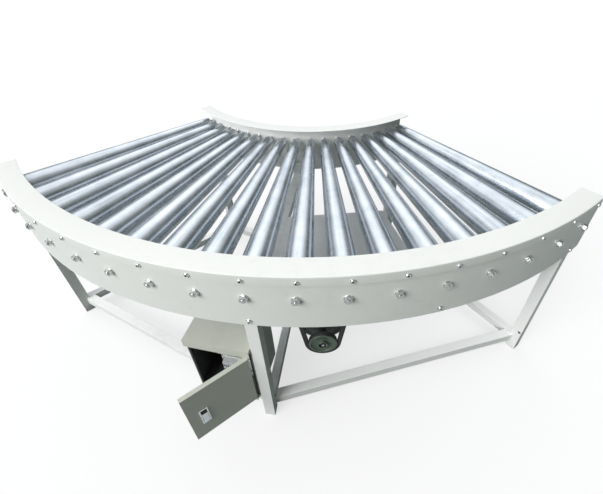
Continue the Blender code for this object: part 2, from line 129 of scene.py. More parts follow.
def add_ramp(nodes, links, source, stops):
    ramp = nodes.new("ShaderNodeValToRGB")
    elements = ramp.color_ramp.elements
    while len(elements) < len(stops):
        elements.new(0.5)
    for element, (place, colour) in zip(elements, stops):
        element.position = place
        element.color = (*colour, 1.0)
    links.new(source, ramp.inputs["Fac"])
    return ramp.outputs["Color"]


def add_range(nodes, links, source, low, high, start=0.3, end=0.7):
    """Carries the source's span from start to end over to low to high."""
    span = add_node(nodes, "MapRange", From_Min=start, From_Max=end, To_Min=low, To_Max=high)
    links.new(source, span.inputs["Value"])
    return span.outputs["Result"]


def add_math(nodes, links, operation, first, second):
    node = nodes.new("ShaderNodeMath")
    node.operation = operation
    for slot, value in enumerate((first, second)):
        if isinstance(value, (int, float)):
            node.inputs[slot].default_value = value
        else:
            links.new(value, node.inputs[slot])
    return node.outputs["Value"]


def blend(nodes, links, first, second, share):
    """Sum of two signals, the first weighted by its share and the second by the rest."""
    return add_math(nodes, links, "ADD", add_math(nodes, links, "MULTIPLY", first, share),
                    add_math(nodes, links, "MULTIPLY", second, 1.0 - share))


def add_bump(nodes, links, height, shader, strength, distance):
    bump = add_node(nodes, "Bump", Strength=strength, Distance=distance)
    links.new(height, bump.inputs["Height"])
    links.new(bump.outputs["Normal"], shader.inputs["Normal"])


def scaled(colour, factor):
    return tuple(min(1.0, c * factor) for c in colour)


def powder_coat(name, colour, rough=(0.34, 0.5), peel=0.1, soil=0.9, coat=0.0):
    """Sprayed paint: faint clouding, dusty low spots and fine orange peel."""
    mat, nodes, links, shader, coords = shader_base(name)
    cloud = add_noise(nodes, links, coords, scale=2.6, detail=6.0, rough=0.6)
    grime = add_noise(nodes, links, coords, scale=34.0, detail=8.0, rough=0.65)
    paint = add_ramp(nodes, links, blend(nodes, links, cloud, grime, 0.6), [
        (0.28, scaled(colour, soil)), (0.45, scaled(colour, 0.985)), (0.72, scaled(colour, 1.02))])
    links.new(paint, shader.inputs["Base Color"])
    links.new(add_range(nodes, links, grime, rough[1], rough[0]), shader.inputs["Roughness"])
    shader.inputs["Coat Weight"].default_value = coat
    shader.inputs["Coat Roughness"].default_value = 0.25
    orange_peel = add_noise(nodes, links, coords, scale=620.0, detail=2.0)
    add_bump(nodes, links, orange_peel, shader, peel, distance=0.0004)
    return mat


FINE_GRAIN = 0.0003


def zinc_tube():
    """Drawn and zinc plated tube, its Z along the roller: lengthwise streaks, turning marks and scuffs."""
    mat, nodes, links, shader, coords = shader_base("zinc_tube")
    streaks = add_noise(nodes, links, coords, 1.0, 6.0, 0.62, stretch=(95.0, 95.0, 3.2))
    rings = add_noise(nodes, links, coords, 1.0, 4.0, 0.7, stretch=(6.0, 6.0, 900.0))
    blotch = add_noise(nodes, links, coords, 17.0, 5.0, 0.55)
    tone = blend(nodes, links, streaks, blotch, 0.55)
    colour = add_ramp(nodes, links, tone, [
        (0.3, (0.37, 0.41, 0.44)), (0.46, (0.55, 0.59, 0.63)), (0.6, (0.68, 0.71, 0.76)),
        (0.74, (0.8, 0.81, 0.84))])
    links.new(colour, shader.inputs["Base Color"])
    shader.inputs["Metallic"].default_value = 1.0
    links.new(add_range(nodes, links, tone, 0.2, 0.36), shader.inputs["Roughness"])
    relief = add_math(nodes, links, "ADD", add_math(nodes, links, "MULTIPLY", rings, 0.5), streaks)
    add_bump(nodes, links, relief, shader, strength=0.14, distance=0.0006)
    return mat


def metal(name, dark, light, rough, scale=160.0, bump=0.08):
    """Plated, pressed or ground metal with a grain in its tone and polish."""
    mat, nodes, links, shader, coords = shader_base(name)
    grain = add_noise(nodes, links, coords, scale, 5.0, 0.6)
    links.new(add_ramp(nodes, links, grain, [(0.32, dark), (0.68, light)]), shader.inputs["Base Color"])
    shader.inputs["Metallic"].default_value = 1.0
    links.new(add_range(nodes, links, grain, *rough), shader.inputs["Roughness"])
    add_bump(nodes, links, grain, shader, bump, FINE_GRAIN)
    return mat


def moulded(name, dark, light, rough=(0.4, 0.6), scale=420.0, bump=0.12):
    """Moulded plastic or rubber with a fine grain."""
    mat, nodes, links, shader, coords = shader_base(name)
    grain = add_noise(nodes, links, coords, scale, 3.0, 0.6)
    cloud = add_noise(nodes, links, coords, 26.0, 4.0, 0.6)
    links.new(add_ramp(nodes, links, cloud, [(0.3, dark), (0.7, light)]), shader.inputs["Base Color"])
    links.new(add_range(nodes, links, grain, *rough), shader.inputs["Roughness"])
    add_bump(nodes, links, grain, shader, bump, FINE_GRAIN)
    return mat


PAINT = powder_coat("rail_powder_coat", (0.8, 0.81, 0.78))
# Stand paint, whiter than the rails'. On the inner rail's web it is painted light that brightens that face
# beyond the rail paint.
STAND_AND_LIT_RAIL_PAINT = powder_coat("stand_and_lit_rail_powder_coat", (0.87, 0.875, 0.86), rough=(0.38, 0.55), soil=0.84)
CABINET_PAINT = powder_coat("cabinet_enamel", (0.54, 0.553, 0.485), rough=(0.3, 0.42), coat=0.2)
# Near-black painted shade for the cabinet's unlit inside, made with the paint shader.
CABINET_INSIDE_SHADE = powder_coat("cabinet_inside_painted_shade", (0.05, 0.051, 0.049), rough=(0.5, 0.7), soil=0.7)
ENAMEL = powder_coat("drive_enamel", (0.062, 0.088, 0.06), rough=(0.28, 0.45), soil=0.6, peel=0.2)
CASTING = powder_coat("gearbox_enamel", (0.02, 0.026, 0.021), rough=(0.35, 0.55), soil=0.6, peel=0.25)
TUBE = zinc_tube()
CAP_STEEL = metal("pressed_cap", (0.42, 0.45, 0.47), (0.66, 0.68, 0.7), (0.25, 0.42), 120.0)
BEARING = metal("bearing_steel", (0.55, 0.56, 0.58), (0.78, 0.78, 0.79), (0.16, 0.28), 300.0)
BOLT = metal("plated_fastener", (0.52, 0.53, 0.52), (0.8, 0.8, 0.78), (0.2, 0.36), 260.0)
BRIGHT = metal("latch_plating", (0.74, 0.75, 0.75), (0.9, 0.9, 0.9), (0.1, 0.2), 60.0, 0.03)
GALVANISED = metal("galvanised_plate", (0.46, 0.47, 0.46), (0.66, 0.67, 0.65), (0.42, 0.6), 55.0)
HUB_PLASTIC = moulded("hub_polymer", (0.018, 0.02, 0.022), (0.035, 0.037, 0.04))
RUBBER = moulded("belt_rubber_face", (0.01, 0.01, 0.011), (0.022, 0.022, 0.023), (0.55, 0.75), 300.0, 0.25)
GASKET = moulded("gasket_foam", (0.012, 0.012, 0.013), (0.03, 0.03, 0.031), (0.75, 0.9), 700.0, 0.35)
RELAY_PALE = moulded("relay_case", (0.56, 0.53, 0.58), (0.66, 0.63, 0.67), (0.35, 0.5))
RELAY_OLIVE = moulded("relay_button", (0.2, 0.21, 0.12), (0.28, 0.29, 0.18), (0.35, 0.5))
TERMINAL = moulded("terminal_polyamide", (0.4, 0.42, 0.43), (0.54, 0.56, 0.57), (0.4, 0.55))
# Near-black painted shade for screw sockets, recesses and openings, made with the moulded shader.
PAINTED_HOLE_SHADE = moulded("socket_shadow", (0.01, 0.01, 0.01), (0.018, 0.018, 0.018), (0.6, 0.8))


# -------- mesh tools

ON_AXIS = 1e-6
SEAT = 0.0001


def finish_mesh(name, bm, materials, sharp):
    """Closes the bmesh: normals out, smooth but for edges sharper than this many degrees."""
    bmesh.ops.recalc_face_normals(bm, faces=bm.faces[:])
    mesh = bpy.data.meshes.new(name)
    bm.to_mesh(mesh)
    bm.free()
    for mat in materials:
        mesh.materials.append(mat)
    mesh.shade_smooth()
    mesh.set_sharp_from_angle(angle=radians(sharp))
    return mesh


def add_object(name, data):
    obj = bpy.data.objects.new(name, data)
    bpy.context.scene.collection.objects.link(obj)
    return obj


def place(name, mesh, body, slot, matrix=None, stands_for=()):
    """Links one piece and rides it on its body; the slot is not used."""
    obj = add_object(name, mesh)
    if matrix is not None:
        obj.matrix_world = matrix
    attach(obj, body)
    if stands_for:
        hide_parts(*stands_for)
    return obj


def piece(name, bm, materials, sharp, body, slot, stands_for=()):
    """A piece modelled where it stands."""
    return place(name, finish_mesh(name, bm, materials, sharp), body, slot, stands_for=stands_for)


def polar(radius, angle, height):
    return Vector((radius * cos(angle), radius * sin(angle), height))


def circle_angles(steps):
    return [2 * pi * i / steps for i in range(steps)]


def lathe(bm, profile, segments=48, matrix=None, index=0, closed=False):
    """Turns (radius, along Z) points; a point on the axis closes the piece there."""
    matrix = matrix or Matrix.Identity(4)
    rings = []
    for radius, along in profile:
        if radius < ON_AXIS:
            rings.append([bm.verts.new(matrix @ Vector((0, 0, along)))])
            continue
        rings.append([bm.verts.new(matrix @ polar(radius, a, along)) for a in circle_angles(segments)])
    pairs = list(zip(rings, rings[1:]))
    if closed:
        pairs.append((rings[-1], rings[0]))
    for low, high in pairs:
        skin(bm, low, high, index)


def skin(bm, low, high, index):
    """Faces between two rings, or between a ring and a point."""
    count = max(len(low), len(high))
    for i in range(count):
        j = (i + 1) % count
        if len(low) == 1:
            face = bm.faces.new((low[0], high[j], high[i]))
        elif len(high) == 1:
            face = bm.faces.new((low[i], low[j], high[0]))
        else:
            face = bm.faces.new((low[i], low[j], high[j], high[i]))
        face.material_index = index


def loops(bm, rings, index=0, closed_path=False):
    """Skins a row of equal rings; open rows get end caps."""
    made = [[bm.verts.new(point) for point in ring] for ring in rings]
    for low, high in zip(made, made[1:]):
        skin(bm, low, high, index)
    if closed_path:
        skin(bm, made[-1], made[0], index)
    else:
        for ring in (made[0], made[-1]):
            bm.faces.new(ring).material_index = index


def block(bm, low, high, chamfer=0.0, matrix=None, index=0, segments=2):
    """A box between two corners with rounded edges."""
    size = [b - a for a, b in zip(low, high)]
    middle = [(a + b) / 2 for a, b in zip(low, high)]
    where = (matrix or Matrix.Identity(4)) @ moved(*middle) @ Matrix.Diagonal((*size, 1.0))
    verts = bmesh.ops.create_cube(bm, size=1.0, matrix=where)["verts"]
    for vert in verts:
        for face in vert.link_faces:
            face.material_index = index
    if chamfer:
        edges = list(dict.fromkeys(edge for vert in verts for edge in vert.link_edges))
        bmesh.ops.bevel(bm, geom=edges, offset=chamfer, segments=segments, profile=0.5,
                        affect="EDGES", material=index)


def strips(bm, left, bottom, right, top, wide, near, far, rounding, matrix):
    """Four flat strips of this width, near to far in Y, along the sides of an (x, z) rectangle."""
    for x_low, z_low, x_high, z_high in (
            (left, bottom, left + wide, top), (right - wide, bottom, right, top),
            (left, bottom, right, bottom + wide), (left, top - wide, right, top)):
        block(bm, (x_low, near, z_low), (x_high, far, z_high), rounding, matrix)


def hex_radius(flats, angle):
    """Distance from a hexagon's centre to its side at this angle."""
    return flats / 2 / cos((angle + pi / 6) % (pi / 3) - pi / 6)


def hexagon(bm, flats, height, bore, matrix, index=0, both_ends=False, steps=48):
    """Hex nut, or bolt head where bore is 0, its corners turned off at the top or at both ends."""
    turned_r = flats / 2 * 1.02
    slope = tan(radians(30))
    lead_in = 0.0008
    angles = circle_angles(steps)
    outer = [hex_radius(flats, angle) for angle in angles]
    drops = [max(0.0, radius - turned_r) * slope for radius in outer]

    def ring(radii, heights):
        return [bm.verts.new(matrix @ polar(r, a, z)) for a, r, z in zip(angles, radii, heights)]

    def circle(radius, z):
        return ring([radius] * steps, [z] * steps)

    rings = [circle(turned_r, 0.0)] if both_ends else []
    rings.append(ring(outer, drops if both_ends else [0.0] * steps))
    rings.append(ring(outer, [height - drop for drop in drops]))
    rings.append(circle(turned_r, height))
    if bore:
        rings += [circle(bore + lead_in, height), circle(bore, height - lead_in), circle(bore, 0.0), rings[0]]
    else:
        rings.append([bm.verts.new(matrix @ Vector((0, 0, height)))])
        rings.insert(0, [bm.verts.new(matrix @ Vector((0, 0, 0)))])
    for low, high in zip(rings, rings[1:]):
        skin(bm, low, high, index)


def washer(bm, radius, thickness, bore, matrix, index=0):
    edge = thickness * 0.25
    lathe(bm, [(bore, 0.0), (radius - edge, 0.0), (radius, edge), (radius, thickness - edge),
               (radius - edge, thickness), (bore, thickness)], 40, matrix, index, closed=True)


def button_screw(bm, radius, height, matrix, index=0, dark=1):
    """Domed screw head with a hexagon socket; Z points out of the surface."""
    rise, steps = 6, 30
    crown, flats, floor = radius * 0.42, radius * 0.72, height * 0.3
    dome = []
    for step in range(rise + 1):
        turn = pi / 2 * step / rise
        dome.append((radius * (0.42 + 0.58 * cos(turn)), height * (0.14 + 0.86 * sin(turn))))
    lathe(bm, [(radius * 0.6, 0.0), (radius, 0.0)] + dome, 32, matrix, index)
    angles = circle_angles(steps)

    def socket(scale, z):
        return [bm.verts.new(matrix @ polar(hex_radius(flats, a) * scale, a, z)) for a in angles]

    rim = [bm.verts.new(matrix @ polar(crown, a, height)) for a in angles]
    mouth = socket(1.0, height)
    bottom = socket(0.96, floor)
    skin(bm, rim, mouth, index)
    # The socket's walls and floor take the material at index dark: painted shade in the recess.
    skin(bm, mouth, bottom, dark)
    skin(bm, bottom, [bm.verts.new(matrix @ Vector((0, 0, floor * 0.8)))], dark)


def weld_bead(bm, corners, radius):
    """A rippled bead of weld along a line through these points."""
    ripple_length, sides = 0.0016, 8
    rings = []
    for start, end in zip(corners, corners[1:]):
        along = end - start
        count = max(3, int(along.length / ripple_length))
        turn = along.to_track_quat("Z", "Y").to_matrix().to_4x4()
        for step in range(count + (end is corners[-1])):
            ripple = radius * (0.86 + 0.2 * abs(sin(len(rings) * 0.95)))
            at = moved(*(start + along * (step / count))) @ turn
            rings.append([at @ polar(ripple, a, 0) for a in circle_angles(sides)])
    loops(bm, rings)


def outward(angle, radius, height):
    """A frame on the curve whose Z points outward along the radius."""
    return radial(angle, radius, height) @ turned(90, "Y")


def inward(angle, radius, height):
    """The same, with Z towards the curve's centre."""
    return radial(angle, radius, height) @ turned(-90, "Y")


# -------- rails and covers

ARC_STEPS = 204


def edge_bevel(obj, width, segments, least):
    """Rounds the edges sharper than this many degrees."""
    bevel = obj.modifiers.new("edge", "BEVEL")
    bevel.width = width
    bevel.segments = segments
    bevel.limit_method = "ANGLE"
    bevel.angle_limit = radians(least)
    bevel.harden_normals = True


def swept_arc(name, section, stands_for, paint=PAINT):
    """One rounded section of (radius, height) points swept along the whole curve."""
    bm = bmesh.new()
    rings = []
    for step in range(ARC_STEPS + 1):
        turn = radial(-HALF_SWEEP + 2 * HALF_SWEEP * step / ARC_STEPS)
        rings.append([turn @ Vector((r, 0, z)) for r, z in section])
    loops(bm, rings)
    edge_bevel(piece(name, bm, [paint], 25.0, "frame", "frame_paint", (stands_for,)), 0.0005, 2, 50)


def bend(centre, radius, start, end, steps=5):
    """Points of a folded corner, as (radius, height)."""
    angles = [start + (end - start) * i / steps for i in range(steps + 1)]
    return [(centre[0] + radius * cos(a), centre[1] + radius * sin(a)) for a in angles]


def end_radius(node, corner):
    """Radius of the band's outermost or innermost end corner, from its box."""
    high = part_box(node)[1]
    if corner == "outer":
        return high.x / sin(HALF_SWEEP)
    return (CENTRE_Y - high.y) / cos(HALF_SWEEP)


RAIL_LOW, RAIL_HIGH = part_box("outer_rail")[0].z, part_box("outer_rail")[1].z
OUTER_R, INNER_R = end_radius("outer_rail", "outer"), end_radius("inner_rail", "outer")
OUTER_BACK, INNER_FACE = end_radius("outer_rail", "inner"), end_radius("inner_rail", "inner")
LIP_R, LIP_EDGE_R = end_radius("outer_cover", "outer"), end_radius("outer_cover", "inner")
BACK_LIP_R, BACK_EDGE_R = end_radius("inner_cover", "inner"), end_radius("inner_cover", "outer")
LIP_LOW, COVER_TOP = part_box("outer_cover")[0].z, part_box("outer_cover")[1].z
FOLD = 0.003
INNER_FOLD = 0.0007
COVER_SHEET = 0.002

# The inner rail's web takes the whiter stand paint: painted light, a brighter copy of the outer rail's paint.
for rail, low_r, high_r, paint in (("outer_rail", OUTER_BACK, OUTER_R, PAINT),
                                   ("inner_rail", INNER_FACE, INNER_R, STAND_AND_LIT_RAIL_PAINT)):
    swept_arc(f"{rail}_web", [(low_r, RAIL_LOW), (high_r, RAIL_LOW), (high_r, RAIL_HIGH), (low_r, RAIL_HIGH)],
              rail, paint)


def cover_section(face, away, edge):
    """Folded strip: a lip outside the rail and a flange over the roller ends."""
    back = face - away * COVER_SHEET
    under = COVER_TOP - COVER_SHEET
    turn = (0.0, pi / 2) if away > 0 else (pi, pi / 2)
    outer = bend((face - away * FOLD, COVER_TOP - FOLD), FOLD, *turn)
    inner = bend((back - away * INNER_FOLD, under - INNER_FOLD), INNER_FOLD, turn[1], turn[0], 3)
    return [(face, LIP_LOW)] + outer + [(edge, COVER_TOP), (edge, under)] + inner + [(back, LIP_LOW)]


swept_arc("outer_cover_strip", cover_section(LIP_R, 1, LIP_EDGE_R), "outer_cover")
swept_arc("inner_cover_strip", cover_section(BACK_LIP_R, -1, BACK_EDGE_R), "inner_cover")

# Screws through the cover lips, one over each roller, and the leg bolts in the webs
LIP_SCREW_Z = COVER_TOP - 0.018
LIP_SCREW_SPREAD = 1.036
LEG_BOLT_Z = RAIL_LOW + 0.017
bm = bmesh.new()
button_screw(bm, 0.0072, 0.0052, Matrix.Identity(4))
LIP_SCREW = finish_mesh("lip_screw", bm, [BOLT, PAINTED_HOLE_SHADE], 32.0)
bm = bmesh.new()
washer(bm, 0.0085, 0.0014, 0.003, Matrix.Identity(4))
button_screw(bm, 0.0068, 0.0044, moved(0, 0, 0.0013))
LEG_SCREW = finish_mesh("leg_screw", bm, [BOLT, PAINTED_HOLE_SHADE], 32.0)
for number, angle in enumerate(ANGLES, 1):
    spin = turned(90 * number, "Z")
    place(f"outer_lip_screw_{number:02d}", LIP_SCREW, "frame", "fastener_zinc",
          outward(angle * LIP_SCREW_SPREAD, LIP_R - SEAT, LIP_SCREW_Z) @ spin)
    place(f"inner_lip_screw_{number:02d}", LIP_SCREW, "frame", "fastener_zinc",
          inward(angle, BACK_LIP_R + SEAT, LIP_SCREW_Z) @ spin)
LEG_ANGLES = {"left": ANGLES[0], "centre": 0.0, "right": ANGLES[-1]}
LUG_ANGLE = 4 * PITCH
for name, angle in [*LEG_ANGLES.items(), ("lug", LUG_ANGLE)]:
    place(f"outer_leg_screw_{name}", LEG_SCREW, "frame", "fastener_zinc",
          outward(angle, OUTER_R - SEAT, LEG_BOLT_Z))
    if name != "lug":
        place(f"inner_leg_screw_{name}", LEG_SCREW, "frame", "fastener_zinc",
              inward(angle, INNER_FACE + SEAT, LEG_BOLT_Z))


# -------- rollers and axles

MIDDLE_ROLLER, MIDDLE_AXLE = "roller_09", "axle_09"
ALONG_AXLE = Matrix.Rotation(pi / 2 + TAPER, 4, "Y")
O_GROOVE = 0.0124
O_ROWS = (0.003, 0.0077)


def roller_mesh():
    """Tapered tube with pressed end caps, bearings and a grooved hub; Z runs from the cone's tip."""
    points = local_points(MIDDLE_ROLLER, radial(0.0, height=ROLLER_TOP) @ ALONG_AXLE)
    turns = [(hypot(p.x, p.y), p.z) for p in points]
    start, hub_end = min(z for r, z in turns), max(z for r, z in turns)
    hub_r = max(r for r, z in turns if z > hub_end - 0.001)
    end = max(z for r, z in turns if r > hub_r + 0.01)
    groove = sorted({round(z, 5) for r, z in turns if z > end + 0.002 and 0.008 < r < hub_r - 0.004})
    groove_r = min(r for r, z in turns if abs(z - groove[0]) < 1e-4)
    slope = tan(TAPER)
    narrow, wide = start * slope, end * slope
    wall, bore = 0.0025, 0.0066
    cuts = 24
    bm = bmesh.new()
    tube = [(narrow - wall, start), (narrow - 0.0009, start), (narrow - 0.0002, start + 0.0004),
            (narrow + 0.0009 * slope, start + 0.0012)]
    along = [start + (end - start) * i / cuts for i in range(1, cuts)]
    tube += [(z * slope, z) for z in along]
    tube += [(wide, end - 0.0014), (wide - 0.0003, end - 0.0005), (wide - 0.0012, end), (wide - wall, end)]
    lathe(bm, tube, 72, index=0)
    cap = [(wide - wall, end), (wide - wall, end - 0.0022), (wide - 0.0045, end - 0.0034),
           (0.03, end - 0.0034), (0.028, end - 0.0018), (0.0215, end - 0.0018), (0.02, end - 0.003),
           (hub_r, end - 0.003)]
    lathe(bm, cap, 72, index=1)
    belt_a, belt_b, half = end + O_ROWS[0], end + O_ROWS[1], 0.0018
    hub = [(hub_r, end - 0.003), (hub_r, belt_a - half - 0.0002), (O_GROOVE, belt_a - half),
           (O_GROOVE, belt_a + half), (hub_r - 0.0005, belt_a + half + 0.0002),
           (hub_r - 0.0005, belt_b - half - 0.0002), (O_GROOVE, belt_b - half), (O_GROOVE, belt_b + half),
           (hub_r, belt_b + half + 0.0002), (hub_r, groove[0]), (groove_r, groove[0] + 0.0001),
           (groove_r, groove[-1] - 0.0001), (hub_r, groove[-1]), (hub_r, hub_end - 0.0006),
           (hub_r - 0.0006, hub_end), (bore + 0.001, hub_end), (bore, hub_end - 0.001)]
    lathe(bm, hub, 48, index=2)
    face = [(bore, start + 0.0016), (bore + 0.0002, start + 0.0012), (0.0086, start + 0.0012),
            (0.009, start + 0.0022), (0.0116, start + 0.0022), (0.012, start + 0.001)]
    lathe(bm, face + [(0.0138, start + 0.001), (0.014, start + 0.002)], 48, index=3)
    lathe(bm, [(0.014, start + 0.002), (narrow - wall - 0.0004, start + 0.002), (narrow - wall, start + 0.0012),
               (narrow - wall, start)], 48, index=1)
    lathe(bm, [(bore, hub_end - 0.001), (bore, start + 0.0016)], 48, index=3)
    return finish_mesh("roller", bm, [TUBE, CAP_STEEL, HUB_PLASTIC, BEARING], 30.0), end


ROLLER_MESH, TUBE_END = roller_mesh()
for number, angle in enumerate(ANGLES, 1):
    place(f"roller_tube_{number:02d}", ROLLER_MESH, f"roller_{number:02d}", "zinc_steel",
          radial(angle, height=ROLLER_TOP) @ ALONG_AXLE @ turned(90 * number, "Z"), (f"roller_{number:02d}",))


def axle_mesh():
    """Threaded shaft with a washer and nut outside each rail and a collar inside each."""
    low, high = local_box(MIDDLE_AXLE, radial(0.0))
    shaft, thread_depth, thread_pitch, threaded = 0.006, 0.0006, 0.0009, 0.018
    washer_r, washer_t, nut_flats, nut_t = 0.012, 0.0025, 0.019, 0.009
    collar_r, collar_t, collar_gap = 0.009, 0.0042, 0.0006
    bm = bmesh.new()
    length = (high.x - low.x) / cos(TAPER)
    profile = [(0.0, 0.0), (shaft - 0.0012, 0.0)]
    crest = 0.001
    while crest < threaded:
        profile += [(shaft - thread_depth, crest - 0.0004), (shaft, crest)]
        crest += thread_pitch
    profile += [(shaft, crest + 0.001)]
    mirrored = [(r, length - z) for r, z in reversed(profile)]
    lathe(bm, profile + mirrored, 24, moved(low.x, 0, axis_height(low.x)) @ ALONG_AXLE)
    for face, side in ((OUTER_R, 1), (INNER_FACE, -1)):
        at = moved(face, 0, axis_height(face + side * 0.006)) @ turned(90 * side, "Y")
        washer(bm, washer_r, washer_t, shaft, at @ moved(0, 0, SEAT))
        hexagon(bm, nut_flats, nut_t, shaft, at @ moved(0, 0, washer_t + SEAT), both_ends=True)
    for face, side in ((OUTER_BACK, -1), (INNER_R, 1)):
        at = moved(face + side * collar_gap, 0, axis_height(face)) @ turned(90 * side, "Y")
        washer(bm, collar_r, collar_t, shaft, at)
    return finish_mesh("axle", bm, [BOLT], 28.0)


AXLE_MESH = axle_mesh()
for number, angle in enumerate(ANGLES, 1):
    place(f"axle_shaft_{number:02d}", AXLE_MESH, "frame", "fastener_zinc", radial(angle),
          (f"axle_{number:02d}",))


# Round belts that couple neighbouring hubs, in two staggered rows
def loop_path(circles, steps=14):
    """Points and outward directions of a belt round circles given anticlockwise as (centre, radius)."""
    headings = []
    for (centre, radius), (after, after_radius) in zip(circles, circles[1:] + circles[:1]):
        line = after - centre
        lean = acos((radius - after_radius) / line.length)
        headings.append(atan2(line.y, line.x) - lean)
    path = []
    for index, (centre, radius) in enumerate(circles):
        begin = headings[index - 1]
        span = (headings[index] - begin) % (2 * pi)
        for step in range(steps + 1):
            angle = begin + span * step / steps
            out = Vector((cos(angle), sin(angle)))
            path.append((centre + radius * out, out))
    return path


def round_belt(name, number):
    wire, sides = 0.0016, 10
    reach = (TUBE_END + O_ROWS[1 - number % 2]) * cos(TAPER)
    sideways = reach * sin(PITCH / 2)
    middle = radial(ANGLES[number - 1] + PITCH / 2, reach * cos(PITCH / 2), axis_height(reach))
    bend_r = O_GROOVE + wire + 0.0003
    bm = bmesh.new()
    rings = []
    for point, out in loop_path([(Vector((-sideways, 0)), bend_r), (Vector((sideways, 0)), bend_r)]):
        rings.append([Vector((wire * sin(a), *(point + out * wire * cos(a))))
                      for a in circle_angles(sides)])
    loops(bm, rings, closed_path=True)
    place(name, finish_mesh(name, bm, [RUBBER], 60.0), "frame", "belt_rubber", middle)


for number in range(1, len(ANGLES)):
    round_belt(f"hub_belt_{number:02d}", number)


# -------- stand

def soften(node, mat, width=0.0012, segments=3):
    """Keeps a CAD node, joins its split corners, rounds its edges and paints it."""
    obj = NODES[node]
    for slot in obj.material_slots:
        slot.material = mat
    weld = obj.modifiers.new("weld", "WELD")
    weld.merge_threshold = 0.00002
    edge_bevel(obj, width, segments, 40)


for node in NODES:
    if node.startswith(("leg_", "foot_bar", "chord_bar", "cross_tie")):
        soften(node, STAND_AND_LIT_RAIL_PAINT)
soften("motor_bracket", STAND_AND_LIT_RAIL_PAINT, 0.0006, 2)
soften("cabinet_box", CABINET_PAINT, 0.0006, 2)
soften("cabinet_door", CABINET_PAINT, 0.0006, 2)
soften("door_latch", BRIGHT, 0.0009, 3)

# Fillet welds where the bars meet the legs
BEAD = 0.0017
SHORT_BEAD = 0.0016
BEAD_INSET = 0.0003
bm = bmesh.new()
BAR_LOW, BAR_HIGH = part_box("foot_bar_centre")[0].z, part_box("foot_bar_centre")[1].z
TIE_LOW, TIE_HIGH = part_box("cross_tie")[0].z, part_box("cross_tie")[1].z


def weld_round(matrix, half, low, high):
    """A bead round a bar's end, in the matrix's YZ plane."""
    corners = [(-half, low), (half, low), (half, high), (-half, high), (-half, low)]
    weld_bead(bm, [matrix @ Vector((0, y, z)) for y, z in corners], BEAD)


def weld_bar(bar, angle, box_low, box_high):
    low, high = local_box(bar, radial(angle))
    for radius in (low.x + BEAD_INSET, high.x - BEAD_INSET):
        weld_round(radial(angle, radius), high.y, box_low, box_high)


for name, angle in LEG_ANGLES.items():
    weld_bar(f"foot_bar_{name}", angle, BAR_LOW, BAR_HIGH)
weld_bar("cross_tie", 0.0, TIE_LOW, TIE_HIGH)
for side in ("outer", "inner"):
    for name, sign in (("left", -1), ("right", 1)):
        for leg, away in (("centre", sign), (name, -sign)):
            at = radial(LEG_ANGLES[leg])
            face = local_box(f"leg_{side}_{leg}", at)[1].y
            bar = local_points(f"chord_bar_{side}_{name}", at)
            near = [p.x for p in bar if abs(abs(p.y) - face) < 0.0012]
            front, back = max(near), min(near)
            y = away * (face + 0.0006)
            corners = [(back, BAR_LOW), (front, BAR_LOW), (front, BAR_HIGH), (back, BAR_HIGH)]
            weld_bead(bm, [at @ Vector((x, y, z)) for x, z in corners + corners[:1]], SHORT_BEAD)
piece("stand_welds", bm, [STAND_AND_LIT_RAIL_PAINT], 70.0, "frame", "frame_paint")

# Near-black discs in holes low on two of the outer legs: painted shade for the holes' insides
bm = bmesh.new()
for name, side, shift, rise in (("right", -1, 0.009, 0.035), ("centre", 1, -0.01, 0.014)):
    low, high = local_box(f"leg_outer_{name}", radial(LEG_ANGLES[name]))
    at = radial(LEG_ANGLES[name], (low.x + high.x) / 2 + shift, BAR_HIGH + rise)
    at = at @ moved(0, side * high.y, 0) @ turned(-90 * side, "X")
    lathe(bm, [(0.0, 0.001), (0.003, 0.001), (0.004, 0.0012), (0.0052, 0.0004), (0.0054, -0.0006)],
          24, at)
piece("leg_hole_shades", bm, [PAINTED_HOLE_SHADE], 40.0, "frame", "belt_rubber")


# -------- drive

PULLEY = JOINTS["pulley_spin"]
DRIVE_ANGLE = heading(PULLEY)
SHAFT_Z = PULLEY["pos_m"][2]
DRIVE = radial(DRIVE_ANGLE, height=SHAFT_Z)
SHAFT = DRIVE @ turned(90, "Y")


